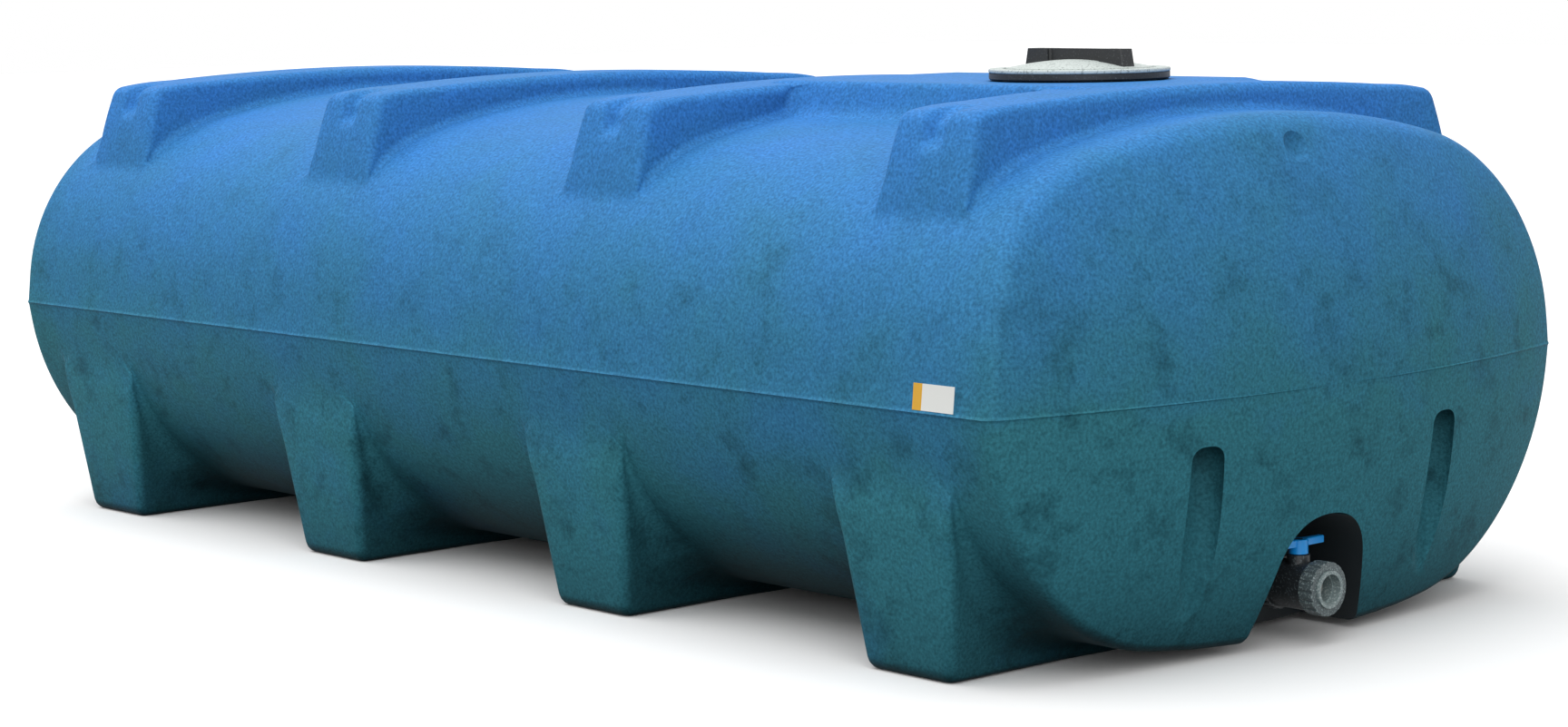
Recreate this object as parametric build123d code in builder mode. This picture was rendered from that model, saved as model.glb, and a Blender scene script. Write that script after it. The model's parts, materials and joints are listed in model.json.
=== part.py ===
from build123d import *
from math import cos, radians, sqrt, tan
import os

os.makedirs("parts", exist_ok=True)

# Rotomoulded water tank lying on four moulded feet.
# X runs along the tank with the outlet at +X, Z is up, and the feet stand on Z = 0.
# All lengths are in millimetres and all angles in degrees.

# Moulding
wall = 10.0
overrun = 20.0
bay_count = 4
bay_pitch = 1000.0
seam_height = 544.0

# Barrel section across the tank
belly_height = 14.0
crown_height = 1088.0
barrel_half_width = 885.0
bottom_corner_inset = 70.0
bottom_corner_height = 85.0
bottom_corner_radius = 490.0
shoulder_inset = 27.0
shoulder_height = 935.0
shoulder_radius = 420.0

# Domed ends
end_overhang = 430.0
end_upper_radius = 1020.0
end_lower_radius = 1450.0
end_plan_radius = 3200.0
end_rim_radius = 45.0
end_joint_setback = 165.0
groove_side = 372.0
groove_radius = 46.0
groove_depth = 90.0
groove_top_height = 452.0
dimple_height = 1020.0
dimple_radius = 35.0
dimple_depth = 7.0

# Parting line bead
bead_height = 6.0
bead_reach = 4.0
bead_gap = 0.2

# Feet under the barrel
foot_width = 240.0
foot_end_inset = 74.0
foot_corner_radius = 30.0
foot_draft = 7.5
foot_sole_radius = 14.0
foot_reach = 540.0
foot_mouth_reach = 400.0

# Ribs over the barrel
rib_rise = 56.0
rib_camber = 33.0
rib_end_inset = 158.0
rib_end_lean = 12.0
rib_top_width = 221.0
rib_draft = 4.0
rib_reach = 264.0
rib_end_radius = 35.0
rib_side_radius = 20.0
notch_width = 68.0
notch_depth = 33.0
notch_length = 120.0
notch_corner_radius = 16.0

# Raised deck that carries the manhole
deck_rise = 2.0
deck_half_width = 290.0
deck_draft = 8.0
deck_reach = 150.0
deck_edge_radius = 18.0
lid_offset = 210.0

# Manhole collar and lid
manhole_radius = 150.0
collar_radius = 168.0
collar_height = 15.0
collar_sleeve_depth = 34.0
collar_thickness = 9.0
gasket_thickness = 2.5
gasket_width = 16.0
brim_radius = 196.0
brim_thickness = 9.0
brim_edge_radius = 3.5
crown_radius = 162.0
crown_rise = 18.0
crown_groove_radius = 4.0
cover_thickness = 5.0
plug_depth = 24.0
plug_clearance = 1.5
grip_base_length = 292.0
grip_top_length = 276.0
grip_width = 40.0
grip_waist_width = 24.0
grip_waist_length = 150.0
grip_rise = 50.0
grip_corner_radius = 6.0

# Niche for the outlet valve
niche_setback = 180.0
niche_foot_half = 184.0
niche_top_half = 106.0
niche_height = 276.0
niche_arch_radius = 130.0
niche_gap = 0.2

# Outlet valve, measured from the middle of its ball
valve_reach = 140.0
valve_height = 118.0
valve_bore_radius = 28.5
ball_radius = 40.7
running_clearance = 0.3
fit_clearance = 0.3
seat_radius = 41.6
seat_outer_face = 40.0
seat_inner_face = 20.0
valve_core_radius = 50.0
valve_core_half = 42.0
valve_thread_radius = 46.5
valve_thread_half = 58.0
tail_collar_radius = 45.5
tail_collar_width = 8.0
tail_radius = 39.0
tail_reach = 85.0
tail_socket_radius = 31.5
tail_socket_depth = 20.0
nut_radius = 56.5
nut_start = 44.0
nut_end = 80.0
nut_edge_radius = 3.0
nut_flute_count = 18
nut_flute_radius = 6.0
nut_flute_depth = 2.5
bonnet_radius = 24.0
bonnet_reach = 64.0
stem_radius = 9.0
stem_tongue_width = 9.0
stem_tongue_length = 14.0
stem_tongue_depth = 7.0
stem_reach = 96.0
handle_hub_radius = 20.0
handle_hub_gap = 2.0
handle_hub_height = 30.0
handle_half_length = 72.0
handle_bar_width = 20.0
handle_tip_width = 15.0
handle_bar_height = 15.0
handle_edge_radius = 3.0
flange_radius = 62.0
flange_thickness = 12.0
seal_thickness = 3.0
connector_radius = 37.5
connector_nut_across = 112.0
connector_nut_thickness = 18.0
connector_tail = 6.0

# Places worked out from the sizes above
last_bay = bay_pitch * (bay_count - 1) / 2
bay_places = [bay_pitch * index - last_bay for index in range(bay_count)]
bottom_corner_half = barrel_half_width - bottom_corner_inset
shoulder_half = barrel_half_width - shoulder_inset
foot_half_length = barrel_half_width - foot_end_inset
rib_top_half_length = barrel_half_width - rib_end_inset
end_reach = last_bay + end_overhang
end_joint = last_bay + end_joint_setback
rib_crown_height = crown_height + rib_rise
rib_edge_height = rib_crown_height - rib_camber
rib_root_height = rib_crown_height - rib_reach
deck_height = rib_crown_height + deck_rise
deck_end = rib_top_width / 2 - rib_side_radius
lid_place = last_bay - bay_pitch / 2 + lid_offset
lid_axis = Axis((lid_place, 0, 0), (0, 0, 1))
lid_plane = Plane(origin=(lid_place, 0, deck_height), x_dir=(1, 0, 0), z_dir=(0, -1, 0))
brim_height = collar_height + gasket_thickness
niche_back = last_bay + niche_setback
valve_place = niche_back + valve_reach
valve_plane = Plane(origin=(valve_place, 0, valve_height), x_dir=(1, 0, 0), z_dir=(0, -1, 0))
valve_axis = Axis((valve_place, 0, valve_height), (1, 0, 0))


def finish(piece, name):
    piece.part.label = name
    export_step(piece.part, f"parts/{name}.step")


def barrel_section(inset):
    # Outline across the barrel, drawn in by inset.
    side = barrel_half_width - inset
    low_half = bottom_corner_half - inset
    low = bottom_corner_height + inset
    high_half = shoulder_half - inset
    high = shoulder_height - inset
    with BuildSketch() as outline:
        with BuildLine():
            ThreePointArc((-low_half, low), (0, belly_height + inset), (low_half, low))
            ThreePointArc((low_half, low), (side, seam_height), (high_half, high))
            ThreePointArc((high_half, high), (0, crown_height - inset), (-high_half, high))
            ThreePointArc((-high_half, high), (-side, seam_height), (-low_half, low))
        make_face()
        fillet(outline.vertices().group_by(Axis.Y)[0], bottom_corner_radius - inset)
        fillet(outline.vertices().group_by(Axis.Y)[-1], shoulder_radius - inset)
    return outline.sketch


def barrel(inset):
    # Barrel and both domes, drawn in by inset all round.
    with BuildPart() as form:
        with BuildSketch(Plane.YZ):
            add(barrel_section(inset))
        extrude(amount=end_reach + overrun, both=True)
        for side in (1, -1):
            axis_place = side * (end_reach - end_plan_radius)
            low = belly_height - overrun
            high = crown_height + overrun
            low_fall = end_lower_radius - sqrt((end_lower_radius - inset) ** 2 - (low - seam_height) ** 2)
            high_fall = end_upper_radius - sqrt((end_upper_radius - inset) ** 2 - (high - seam_height) ** 2)
            low_reach = end_plan_radius - low_fall
            high_reach = end_plan_radius - high_fall
            full_reach = end_plan_radius - inset
            with BuildSketch(Plane.XZ):
                with BuildLine():
                    low_point = (axis_place - side * low_reach, low)
                    high_point = (axis_place - side * high_reach, high)
                    Spline(low_point, (axis_place - side * full_reach, seam_height), high_point)
                    Polyline(high_point, (axis_place, high), (axis_place, low), low_point)
                make_face()
            revolve(axis=Axis((axis_place, 0, 0), (0, 0, 1)), mode=Mode.INTERSECT)
        rims = form.faces().filter_by(GeomType.REVOLUTION).edges()
        fillet(rims, end_rim_radius - inset)
    return form.part


def foot_block(place, inset, reach):
    # One foot as a drafted block, drawn in by inset on its sole and sides.
    lean = tan(radians(foot_draft))
    draw_in = inset / cos(radians(foot_draft)) - inset * lean
    half_width = foot_width / 2 - draw_in
    half_length = foot_half_length - draw_in
    spread = (reach - inset) * lean
    with BuildPart() as form:
        with BuildSketch(Plane.XZ):
            with BuildLine():
                Polyline(
                    (place - half_width, inset),
                    (place + half_width, inset),
                    (place + half_width + spread, reach),
                    (place - half_width - spread, reach),
                    close=True,
                )
            make_face()
        extrude(amount=half_length + spread, both=True)
        with BuildSketch(Plane.YZ.offset(place)):
            with BuildLine():
                Polyline(
                    (-half_length, inset),
                    (half_length, inset),
                    (half_length + spread, reach),
                    (-half_length - spread, reach),
                    close=True,
                )
            make_face()
        extrude(amount=half_width + spread, both=True, mode=Mode.INTERSECT)
        levels = form.edges().group_by(Axis.Z)
        fillet(levels[1], foot_corner_radius - inset)
        if inset == 0:
            fillet(form.edges().group_by(Axis.Z)[0], foot_sole_radius)
    return form.part


def rib_block(place, inset):
    # One rib as a cambered, drafted block, drawn in by inset on its top and sides.
    edge_half = rib_top_half_length - inset
    root_half = edge_half + (rib_edge_height - rib_root_height) * tan(radians(rib_end_lean))
    edge = rib_edge_height - inset
    crown = rib_crown_height - inset
    top_half = rib_top_width / 2 - inset
    root_spread = top_half + rib_reach * tan(radians(rib_draft))
    with BuildPart() as form:
        with BuildSketch(Plane.YZ.offset(place)) as outline:
            with BuildLine():
                ThreePointArc((edge_half, edge), (0, crown), (-edge_half, edge))
                Polyline(
                    (-edge_half, edge),
                    (-root_half, rib_root_height),
                    (root_half, rib_root_height),
                    (edge_half, edge),
                )
            make_face()
            fillet(outline.vertices().group_by(Axis.Y)[-1], rib_end_radius - inset)
        extrude(amount=root_spread, both=True)
        with BuildSketch(Plane.XZ):
            with BuildLine():
                Polyline(
                    (place - root_spread, rib_root_height),
                    (place + root_spread, rib_root_height),
                    (place + top_half, rib_crown_height),
                    (place - top_half, rib_crown_height),
                    close=True,
                )
            make_face()
        extrude(amount=root_half, both=True, mode=Mode.INTERSECT)
        if inset == 0:
            flanks = form.faces().sort_by(Axis.X)
            flank_edges = ShapeList(flanks[0].edges() + flanks[-1].edges())
            fillet(flank_edges.sort_by(Axis.Z)[2:], rib_side_radius)
    return form.part


def strap_notch(place, side, inset):
    # A groove that climbs inboard from the top edge of a rib's end.
    floor = rib_edge_height - notch_depth
    climb = Vector(0, -side * notch_length, notch_depth + rib_camber * notch_depth / notch_length)
    start = Vector(place, side * rib_top_half_length, floor) - climb.normalized() * overrun * 2
    half = notch_width / 2 + inset
    with BuildPart() as form:
        with BuildSketch(Plane(origin=start, x_dir=(1, 0, 0), z_dir=climb.normalized())) as outline:
            lift = side * notch_depth * 2
            base = -side * inset
            with BuildLine():
                Polyline((-half, base), (half, base), (half, lift), (-half, lift), close=True)
            make_face()
            fillet(outline.vertices().filter_by(lambda corner: corner.Y * side <= 0), notch_corner_radius)
        extrude(amount=notch_length * 2)
    return form.part


def deck_block(inset):
    # The raised deck between the last two ribs, drawn in by inset on its top and sides.
    top_half = deck_half_width - inset
    root_half = top_half + deck_reach * tan(radians(deck_draft))
    with BuildPart() as form:
        with BuildSketch(Plane.YZ.offset(last_bay - bay_pitch + deck_end)) as outline:
            with BuildLine():
                Polyline(
                    (-root_half, deck_height - deck_reach),
                    (root_half, deck_height - deck_reach),
                    (top_half, deck_height - inset),
                    (-top_half, deck_height - inset),
                    close=True,
                )
            make_face()
            fillet(outline.vertices().group_by(Axis.Y)[-1], deck_edge_radius)
        extrude(amount=bay_pitch - 2 * deck_end)
        for place in bay_places[-2:]:
            add(rib_blocks[place], mode=Mode.SUBTRACT)
    return form.part


def niche_block(inset):
    # The arched space round the valve, open below and at the end of the tank.
    with BuildPart() as form:
        with BuildSketch(Plane.YZ.offset(niche_back - inset)) as arch:
            with BuildLine():
                Polyline(
                    (-niche_foot_half, 0),
                    (niche_foot_half, 0),
                    (niche_top_half, niche_height),
                    (-niche_top_half, niche_height),
                    close=True,
                )
            make_face()
            fillet(arch.vertices().group_by(Axis.Y)[-1], niche_arch_radius)
            if inset > 0:
                offset(amount=inset, kind=Kind.INTERSECTION)
        extrude(amount=end_reach - niche_back + inset)
    return form.part


def end_groove(end, side, inset):
    # An upright thumb groove in the dome that runs out downwards.
    radius = groove_radius + inset
    groove_reach = end_reach - groove_depth
    place = (end * (groove_reach + groove_radius), side * groove_side)
    with BuildPart() as form:
        with BuildSketch(Plane.XY):
            with Locations(place):
                Circle(radius)
        extrude(amount=groove_top_height)
        fillet(form.edges().group_by(Axis.Z)[-1], groove_radius / 2)
    return form.part


def end_dimple(end, inset):
    # A shallow round dimple high in the dome.
    lean = (dimple_height - seam_height) / end_upper_radius
    level = sqrt(1 - lean**2)
    ball = (dimple_radius**2 + dimple_depth**2) / (2 * dimple_depth)
    middle = end_upper_radius + ball - dimple_depth
    place = end * (end_reach - end_upper_radius + middle * level)
    with BuildPart() as form:
        with Locations((place, 0, seam_height + middle * lean)):
            Sphere(ball + inset)
    return form.part


barrel_outside = barrel(0)
barrel_inside = barrel(wall)
rib_blocks = {place: rib_block(place, 0) for place in bay_places}

# Feet
for index, place in enumerate(bay_places, 1):
    with BuildPart() as foot:
        add(foot_block(place, 0, foot_reach))
        add(foot_block(place, wall, foot_reach + overrun), mode=Mode.SUBTRACT)
        add(barrel_outside, mode=Mode.SUBTRACT)
    finish(foot, f"foot_{index}")

# Ribs
for index, place in enumerate(bay_places, 1):
    with BuildPart() as rib_hollow:
        add(rib_block(place, wall))
        for side in (1, -1):
            add(strap_notch(place, side, wall), mode=Mode.SUBTRACT)
    with BuildPart() as rib:
        add(rib_blocks[place])
        for side in (1, -1):
            add(strap_notch(place, side, 0), mode=Mode.SUBTRACT)
        add(rib_hollow.part, mode=Mode.SUBTRACT)
        add(barrel_outside, mode=Mode.SUBTRACT)
    finish(rib, f"rib_{index}")

# Deck with the manhole
with BuildPart() as lid_deck:
    add(deck_block(0))
    add(deck_block(wall), mode=Mode.SUBTRACT)
    add(barrel_outside, mode=Mode.SUBTRACT)
    with BuildSketch(Plane.XY.offset(deck_height)):
        with Locations((lid_place, 0)):
            Circle(manhole_radius)
    extrude(amount=-deck_reach, mode=Mode.SUBTRACT)
finish(lid_deck, "lid_deck")

# Barrel, upper and lower half
with BuildPart() as tank_top:
    with BuildSketch(Plane.YZ):
        add(barrel_section(0))
        add(barrel_section(wall), mode=Mode.SUBTRACT)
    extrude(amount=end_joint, both=True)
    split(bisect_by=Plane.XY.offset(seam_height), keep=Keep.TOP)
    for place in bay_places:
        add(rib_block(place, wall), mode=Mode.SUBTRACT)
    add(deck_block(wall), mode=Mode.SUBTRACT)
finish(tank_top, "tank_top")

with BuildPart() as tank_bottom:
    with BuildSketch(Plane.YZ):
        add(barrel_section(0))
        add(barrel_section(wall), mode=Mode.SUBTRACT)
    extrude(amount=end_joint, both=True)
    split(bisect_by=Plane.XY.offset(seam_height), keep=Keep.BOTTOM)
    for place in bay_places:
        add(foot_block(place, wall, foot_mouth_reach), mode=Mode.SUBTRACT)
finish(tank_bottom, "tank_bottom")

# Domed ends
for end, name in ((1, "outlet_end"), (-1, "closed_end")):
    with BuildPart() as hollow:
        add(barrel_inside)
        for side in (1, -1):
            add(end_groove(end, side, wall), mode=Mode.SUBTRACT)
        add(end_dimple(end, wall), mode=Mode.SUBTRACT)
    with BuildPart() as dome:
        add(barrel_outside)
        split(bisect_by=Plane.YZ.offset(end * end_joint), keep=Keep.TOP if end > 0 else Keep.BOTTOM)
        add(hollow.part, mode=Mode.SUBTRACT)
        for side in (1, -1):
            add(end_groove(end, side, 0), mode=Mode.SUBTRACT)
        add(end_dimple(end, 0), mode=Mode.SUBTRACT)
        if end > 0:
            add(niche_block(0), mode=Mode.SUBTRACT)
    finish(dome, name)

# Niche walls round the valve
with BuildPart() as valve_niche:
    add(niche_block(wall))
    add(barrel(wall + niche_gap), mode=Mode.INTERSECT)
    add(niche_block(0), mode=Mode.SUBTRACT)
    with BuildSketch(Plane.YZ.offset(niche_back)):
        with Locations((0, valve_height)):
            Circle(connector_radius + fit_clearance)
    extrude(amount=-wall, mode=Mode.SUBTRACT)
finish(valve_niche, "valve_niche")

# Bead left by the parting line of the mould
with BuildPart() as parting_bead:
    add(barrel(-bead_reach))
    split(bisect_by=Plane.XY.offset(seam_height + bead_height / 2), keep=Keep.BOTTOM)
    split(bisect_by=Plane.XY.offset(seam_height - bead_height / 2), keep=Keep.TOP)
    add(barrel(-bead_gap), mode=Mode.SUBTRACT)
finish(parting_bead, "parting_bead")

# Manhole collar
with BuildPart() as manhole_collar:
    with BuildSketch(lid_plane):
        with BuildLine():
            sleeve_outer = manhole_radius - fit_clearance
            sleeve_inner = sleeve_outer - collar_thickness
            Polyline(
                (sleeve_inner, collar_height),
                (collar_radius, collar_height),
                (collar_radius, 0),
                (sleeve_outer, 0),
                (sleeve_outer, -collar_sleeve_depth),
                (sleeve_inner, -collar_sleeve_depth),
                close=True,
            )
        make_face()
    revolve(axis=lid_axis)
finish(manhole_collar, "manhole_collar")

# Gasket on the collar
with BuildPart() as lid_gasket:
    with BuildSketch(Plane.XY.offset(deck_height + collar_height)):
        with Locations((lid_place, 0)):
            Circle(collar_radius)
            Circle(collar_radius - gasket_width, mode=Mode.SUBTRACT)
    extrude(amount=gasket_thickness)
finish(lid_gasket, "lid_gasket")

# Lid cover with its brim, crown and plug
brim_top = brim_height + brim_thickness
crown_top = brim_top + crown_rise
crown_curve = (crown_rise**2 + crown_radius**2) / (2 * crown_rise)
plug_radius = sleeve_inner - plug_clearance
plug_inner = plug_radius - cover_thickness
with BuildPart() as lid_cover:
    with BuildSketch(lid_plane) as cover_profile:
        with BuildLine():
            RadiusArc((0, crown_top), (crown_radius, brim_top), crown_curve)
            Polyline(
                (crown_radius, brim_top),
                (brim_radius, brim_top),
                (brim_radius, brim_height),
                (plug_radius, brim_height),
                (plug_radius, brim_height - plug_depth),
                (plug_inner, brim_height - plug_depth),
                (plug_inner, brim_top - cover_thickness),
            )
            RadiusArc(
                (0, crown_top - cover_thickness), (plug_inner, brim_top - cover_thickness), crown_curve
            )
            Line((0, crown_top), (0, crown_top - cover_thickness))
        make_face()
        fillet(cover_profile.vertices().group_by(Axis.X)[-1], brim_edge_radius)
        with Locations((crown_radius, brim_top)):
            Circle(crown_groove_radius, mode=Mode.SUBTRACT)
    revolve(axis=lid_axis)
finish(lid_cover, "lid_cover")

# Grip bar across the lid
with BuildPart() as lid_grip:
    with BuildSketch(lid_plane):
        with BuildLine():
            Polyline(
                (-grip_base_length / 2, brim_top),
                (grip_base_length / 2, brim_top),
                (grip_top_length / 2, brim_height + grip_rise),
                (-grip_top_length / 2, brim_height + grip_rise),
                close=True,
            )
        make_face()
    extrude(amount=grip_width / 2, both=True)
    fillet(lid_grip.edges().filter_by(lambda edge: abs((edge % 0).Z) > abs((edge % 0).X)), grip_corner_radius)
    with BuildSketch(Plane.XY.offset(deck_height)):
        for side in (1, -1):
            with Locations((lid_place, side * grip_width / 2)):
                RectangleRounded(grip_waist_length, grip_width - grip_waist_width, grip_corner_radius)
    extrude(amount=brim_height + grip_rise + overrun, mode=Mode.SUBTRACT)
    with BuildSketch(lid_plane):
        with BuildLine():
            RadiusArc((0, crown_top), (crown_radius, brim_top), crown_curve)
            Polyline((crown_radius, brim_top), (0, brim_top), (0, crown_top))
        make_face()
    revolve(axis=lid_axis, mode=Mode.SUBTRACT)
finish(lid_grip, "lid_grip")

# Connector through the back of the niche
with BuildPart() as tank_connector:
    with BuildSketch(valve_plane):
        with BuildLine():
            flange_start = -valve_reach + seal_thickness
            inner_end = -valve_reach - wall - connector_nut_thickness - connector_tail
            Polyline(
                (-valve_thread_half, valve_bore_radius),
                (-valve_thread_half, tail_collar_radius),
                (-valve_thread_half - tail_collar_width, tail_collar_radius),
                (-valve_thread_half - tail_collar_width, tail_radius),
                (flange_start + flange_thickness, tail_radius),
                (flange_start + flange_thickness, flange_radius),
                (flange_start, flange_radius),
                (flange_start, connector_radius),
                (inner_end, connector_radius),
                (inner_end, valve_bore_radius),
                close=True,
            )
        make_face()
    revolve(axis=valve_axis)
finish(tank_connector, "tank_connector")

# Seal under the connector's flange
with BuildPart() as flange_seal:
    with BuildSketch(Plane.YZ.offset(niche_back)):
        with Locations((0, valve_height)):
            Circle(flange_radius)
            Circle(connector_radius + fit_clearance, mode=Mode.SUBTRACT)
    extrude(amount=seal_thickness)
finish(flange_seal, "flange_seal")

# Nut that clamps the connector inside the tank
with BuildPart() as connector_nut:
    with BuildSketch(Plane.YZ.offset(niche_back - wall)):
        with Locations((0, valve_height)):
            RegularPolygon(connector_nut_across / 2, 6, major_radius=False)
            Circle(connector_radius + fit_clearance, mode=Mode.SUBTRACT)
    extrude(amount=-connector_nut_thickness)
finish(connector_nut, "connector_nut")

# Ball valve body
with BuildPart() as valve_body:
    with BuildSketch(valve_plane):
        with BuildLine():
            Polyline(
                (-valve_thread_half, valve_bore_radius),
                (-valve_thread_half, valve_thread_radius),
                (-valve_core_half, valve_thread_radius),
                (-valve_core_half, valve_core_radius),
                (valve_core_half, valve_core_radius),
                (valve_core_half, valve_thread_radius),
                (valve_thread_half, valve_thread_radius),
                (valve_thread_half, seat_radius),
                (-seat_outer_face, seat_radius),
                (-seat_outer_face, valve_bore_radius),
                close=True,
            )
        make_face()
    revolve(axis=valve_axis)
    with BuildSketch(Plane.XY.offset(valve_height + seat_radius)):
        with Locations((valve_place, 0)):
            Circle(bonnet_radius)
    extrude(amount=bonnet_reach - seat_radius)
    with BuildSketch(Plane.XY.offset(valve_height)):
        with Locations((valve_place, 0)):
            Circle(stem_radius + running_clearance)
    extrude(amount=bonnet_reach, mode=Mode.SUBTRACT)
    with BuildSketch(valve_plane):
        with BuildLine():
            Polyline(
                (-seat_outer_face, 0),
                (-seat_outer_face, seat_radius),
                (valve_thread_half, seat_radius),
                (valve_thread_half, 0),
                close=True,
            )
        make_face()
    revolve(axis=valve_axis, mode=Mode.SUBTRACT)
finish(valve_body, "valve_body")

# Ball seats
for side, name in ((-1, "inlet_seat"), (1, "outlet_seat")):
    with BuildPart() as seat:
        with BuildSketch(valve_plane):
            with BuildLine():
                hollow_radius = ball_radius + running_clearance
                rim_radius = sqrt(hollow_radius**2 - seat_inner_face**2)
                bore_reach = sqrt(hollow_radius**2 - valve_bore_radius**2)
                seat_rim = (side * seat_inner_face, rim_radius)
                seat_bore = (side * bore_reach, valve_bore_radius)
                RadiusArc(seat_bore, seat_rim, -side * hollow_radius)
                Polyline(
                    seat_rim,
                    (side * seat_inner_face, seat_radius - fit_clearance),
                    (side * seat_outer_face, seat_radius - fit_clearance),
                    (side * seat_outer_face, valve_bore_radius),
                    seat_bore,
                )
            make_face()
        revolve(axis=valve_axis)
    finish(seat, name)

# Ball, bored across the flow while the valve is shut
with BuildPart() as valve_ball:
    with Locations((valve_place, 0, valve_height)):
        Sphere(ball_radius)
    with BuildSketch(Plane.XZ):
        with Locations((valve_place, valve_height)):
            Circle(valve_bore_radius)
    extrude(amount=ball_radius, both=True, mode=Mode.SUBTRACT)
    with BuildSketch(Plane.XY.offset(valve_height + ball_radius)):
        with Locations((valve_place, 0)):
            Rectangle(stem_tongue_width, ball_radius * 2)
    extrude(amount=-stem_tongue_depth, mode=Mode.SUBTRACT)
finish(valve_ball, "valve_ball")

# Stem from the ball to the handle
with BuildPart() as valve_stem:
    with BuildSketch(Plane.XY.offset(valve_height + ball_radius)):
        with Locations((valve_place, 0)):
            Circle(stem_radius)
    extrude(amount=stem_reach - ball_radius)
    with BuildSketch(Plane.XY.offset(valve_height + ball_radius - stem_tongue_depth)):
        with Locations((valve_place, 0)):
            Rectangle(stem_tongue_width, stem_tongue_length)
    extrude(amount=stem_tongue_depth)
finish(valve_stem, "valve_stem")

# Cross handle, lying across the pipe while the valve is shut
with BuildPart() as valve_handle:
    hub_base = valve_height + bonnet_reach + handle_hub_gap
    with BuildSketch(Plane.XY.offset(hub_base)):
        with Locations((valve_place, 0)):
            Circle(handle_hub_radius)
    extrude(amount=handle_hub_height)
    with BuildSketch(Plane.XY.offset(hub_base + handle_hub_height - handle_bar_height)):
        with BuildLine():
            Polyline(
                (valve_place - handle_bar_width / 2, 0),
                (valve_place - handle_tip_width / 2, handle_half_length),
                (valve_place + handle_tip_width / 2, handle_half_length),
                (valve_place + handle_bar_width / 2, 0),
                (valve_place + handle_tip_width / 2, -handle_half_length),
                (valve_place - handle_tip_width / 2, -handle_half_length),
                close=True,
            )
        make_face()
    extrude(amount=handle_bar_height)
    fillet(valve_handle.faces().sort_by(Axis.Z)[-1].edges(), handle_edge_radius)
    with BuildSketch(Plane.XY.offset(hub_base)):
        with Locations((valve_place, 0)):
            Circle(stem_radius)
    extrude(amount=valve_height + stem_reach - hub_base, mode=Mode.SUBTRACT)
finish(valve_handle, "valve_handle")

# Union nuts on both ends of the valve
for side, name in ((-1, "inlet_union_nut"), (1, "outlet_union_nut")):
    with BuildPart() as nut:
        with BuildSketch(valve_plane) as nut_profile:
            with BuildLine():
                shoulder = valve_thread_half + tail_collar_width
                Polyline(
                    (side * nut_start, valve_thread_radius + fit_clearance),
                    (side * nut_start, nut_radius),
                    (side * nut_end, nut_radius),
                    (side * nut_end, tail_radius + fit_clearance),
                    (side * shoulder, tail_radius + fit_clearance),
                    (side * shoulder, valve_thread_radius + fit_clearance),
                    close=True,
                )
            make_face()
            fillet(nut_profile.vertices().group_by(Axis.Y)[-1], nut_edge_radius)
        revolve(axis=valve_axis)
        with BuildSketch(Plane.YZ.offset(valve_place + side * nut_start)):
            with Locations((0, valve_height)):
                with PolarLocations(nut_radius + nut_flute_radius - nut_flute_depth, nut_flute_count):
                    Circle(nut_flute_radius)
        extrude(amount=side * (nut_end - nut_start), mode=Mode.SUBTRACT)
    finish(nut, name)

# Outlet tail held by the outer union nut
with BuildPart() as outlet_tail:
    with BuildSketch(valve_plane):
        with BuildLine():
            Polyline(
                (seat_outer_face, valve_bore_radius),
                (seat_outer_face, seat_radius - fit_clearance),
                (valve_thread_half, seat_radius - fit_clearance),
                (valve_thread_half, tail_collar_radius),
                (valve_thread_half + tail_collar_width, tail_collar_radius),
                (valve_thread_half + tail_collar_width, tail_radius),
                (tail_reach, tail_radius),
                (tail_reach, tail_socket_radius),
                (tail_reach - tail_socket_depth, tail_socket_radius),
                (tail_reach - tail_socket_depth, valve_bore_radius),
                close=True,
            )
        make_face()
    revolve(axis=valve_axis)
finish(outlet_tail, "outlet_tail")
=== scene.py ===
import json
import math

import bmesh
import bpy
import numpy as np
from mathutils import Matrix, Vector


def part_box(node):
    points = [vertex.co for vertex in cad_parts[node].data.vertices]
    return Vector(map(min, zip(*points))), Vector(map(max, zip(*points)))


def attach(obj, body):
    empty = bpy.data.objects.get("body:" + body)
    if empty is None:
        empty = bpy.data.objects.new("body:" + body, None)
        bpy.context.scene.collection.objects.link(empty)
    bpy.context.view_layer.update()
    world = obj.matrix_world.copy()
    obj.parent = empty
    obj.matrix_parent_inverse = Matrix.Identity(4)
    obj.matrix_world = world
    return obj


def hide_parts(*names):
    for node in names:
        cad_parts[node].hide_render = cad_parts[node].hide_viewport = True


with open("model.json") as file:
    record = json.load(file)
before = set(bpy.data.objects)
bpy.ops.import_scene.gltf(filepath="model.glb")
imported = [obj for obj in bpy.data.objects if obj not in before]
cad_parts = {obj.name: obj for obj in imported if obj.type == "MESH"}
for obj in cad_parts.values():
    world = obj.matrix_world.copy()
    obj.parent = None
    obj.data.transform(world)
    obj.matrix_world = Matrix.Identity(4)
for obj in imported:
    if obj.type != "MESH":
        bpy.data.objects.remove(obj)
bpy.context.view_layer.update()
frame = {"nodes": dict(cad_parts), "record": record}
tiny = 1e-6
quarter = math.pi / 2
sharpTurn = math.radians(38)  # edges that turn more than this stay crisp


def hexColor(text):
    channels = [int(text[i:i + 2], 16) / 255 for i in (1, 3, 5)]
    return [c / 12.92 if c <= 0.04045 else ((c + 0.055) / 1.055) ** 2.4 for c in channels] + [1.0]


def put(tree, kind, inputs=None, **settings):
    item = tree.nodes.new(kind)
    for name, value in settings.items():
        setattr(item, name, value)
    for name, value in (inputs or {}).items():
        if isinstance(value, bpy.types.NodeSocket):
            tree.links.new(value, item.inputs[name])
        else:
            item.inputs[name].default_value = value
    return item


def meshObject(name, bm):
    mesh = bpy.data.meshes.new(name)
    bm.to_mesh(mesh)
    bm.free()
    made = bpy.data.objects.new(name, mesh)
    bpy.context.scene.collection.objects.link(made)
    return made


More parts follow.
